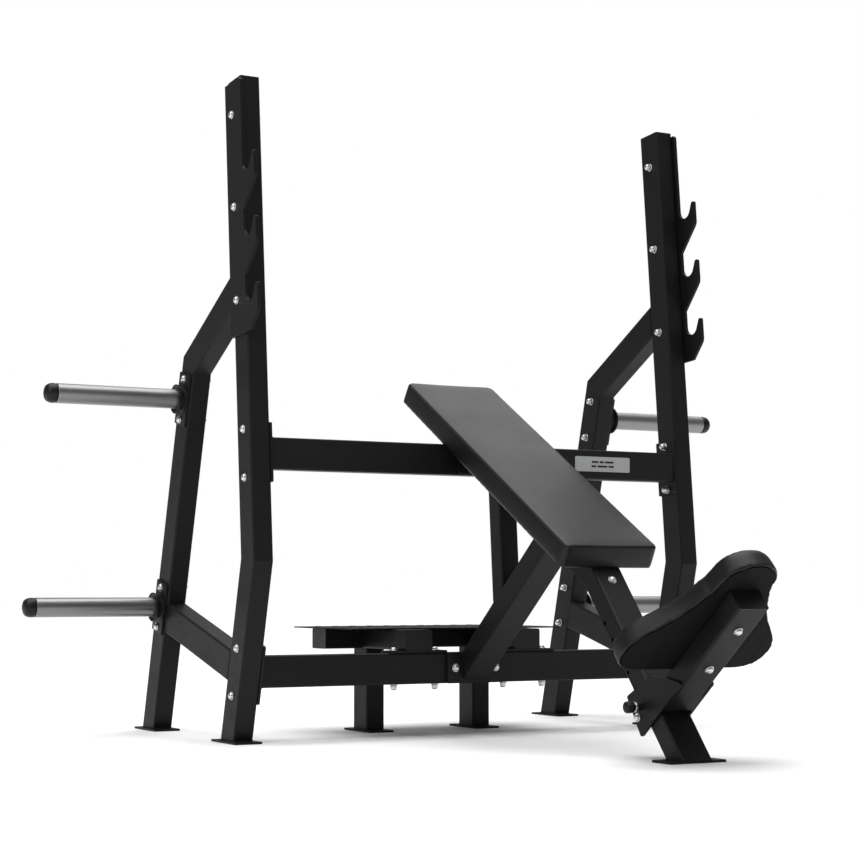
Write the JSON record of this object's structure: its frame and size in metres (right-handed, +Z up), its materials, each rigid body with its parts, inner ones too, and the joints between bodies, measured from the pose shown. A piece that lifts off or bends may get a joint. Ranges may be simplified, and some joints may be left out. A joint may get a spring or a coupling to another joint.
{
  "type": "incline barbell bench",
  "caption": "Steel incline barbell bench with stepped bar cups, a sliding seat on an inclined rail, plate storage pegs and a spotter platform.",
  "frame": {"origin": "on the floor, at the centre of the whole part's bounding box", "axes": "+Z up, +Y from the seat towards the rear legs, +X across the bench to the right as seen from the seat"},
  "size_m": [1.98, 1.7662, 1.5759],
  "materials": {
    "black_powder_coat": "matt black powder coat",
    "black_vinyl": "black vinyl with a fine grain",
    "black_plastic": "satin black plastic",
    "zinc_steel": "bright plated steel",
    "satin_steel": "satin steel, turned along the peg",
    "label_silver": "satin aluminium",
    "nylon": "black nylon",
    "plywood": "black-stained plywood"
  },
  "bodies": {
    "frame": {"back_board": "plywood", "back_pad": "black_vinyl", "back_pad_bolts": "zinc_steel", "bolted_plates": "black_powder_coat", "brace": "black_powder_coat", "crossbar_lower": "black_powder_coat", "crossbar_upper": "black_powder_coat", "deck_bearer_left": "black_powder_coat", "deck_bearer_right": "black_powder_coat", "deck_cross_tube": "black_powder_coat", "deck_post_left": "black_powder_coat", "deck_post_right": "black_powder_coat", "foot_plates": "black_powder_coat", "frame_bolts": "zinc_steel", "frame_nuts": "zinc_steel", "hook_plate_left": "black_powder_coat", "hook_plate_right": "black_powder_coat", "label_plate": "label_silver", "pad_spine": "black_powder_coat", "peg_cap_lower_left": "black_plastic", "peg_cap_lower_right": "black_plastic", "peg_cap_upper_left": "black_plastic", "peg_cap_upper_right": "black_plastic", "peg_mount_lower_left": "black_powder_coat", "peg_mount_lower_right": "black_powder_coat", "peg_mount_upper_left": "black_powder_coat", "peg_mount_upper_right": "black_powder_coat", "peg_tube_lower_left": "satin_steel", "peg_tube_lower_right": "satin_steel", "peg_tube_upper_left": "satin_steel", "peg_tube_upper_right": "satin_steel", "platform_deck": "black_powder_coat", "rail_stop_bolt": "zinc_steel", "rear_diagonal_left": "black_powder_coat", "rear_diagonal_right": "black_powder_coat", "rear_leg_left": "black_powder_coat", "rear_leg_right": "black_powder_coat", "side_rail_left": "black_powder_coat", "side_rail_right": "black_powder_coat", "slide_rail": "black_powder_coat", "strut": "black_powder_coat", "tube_end_caps": "black_plastic", "upright_base_left": "black_powder_coat", "upright_base_right": "black_powder_coat", "upright_post_left": "black_powder_coat", "upright_post_right": "black_powder_coat"},
    "seat_carriage": {"guide_bolt_and_nut": "zinc_steel", "seat_board": "plywood", "seat_front_web": "black_powder_coat", "seat_guide_bush": "nylon", "seat_pad": "black_vinyl", "seat_pad_bolts": "zinc_steel", "seat_side_plate_left": "black_powder_coat", "seat_side_plate_right": "black_powder_coat", "seat_slide_block": "nylon", "seat_tube": "black_powder_coat", "seat_tube_cap": "black_plastic"},
    "pull_pin": {"pull_pin": "zinc_steel", "pull_pin_knob": "black_plastic"}
  },
  "joints": [
    {"name": "seat_slide", "type": "slide", "parent": "frame", "child": "seat_carriage", "axis": [0, 0.6374, 0.7705], "range_m": [-0.045, 0.225]},
    {"name": "pull_pin_slide", "type": "slide", "parent": "seat_carriage", "child": "pull_pin", "axis": [-1, 0, 0], "range_m": [0, 0.014], "stiffness_N_per_m": 800}
  ]
}
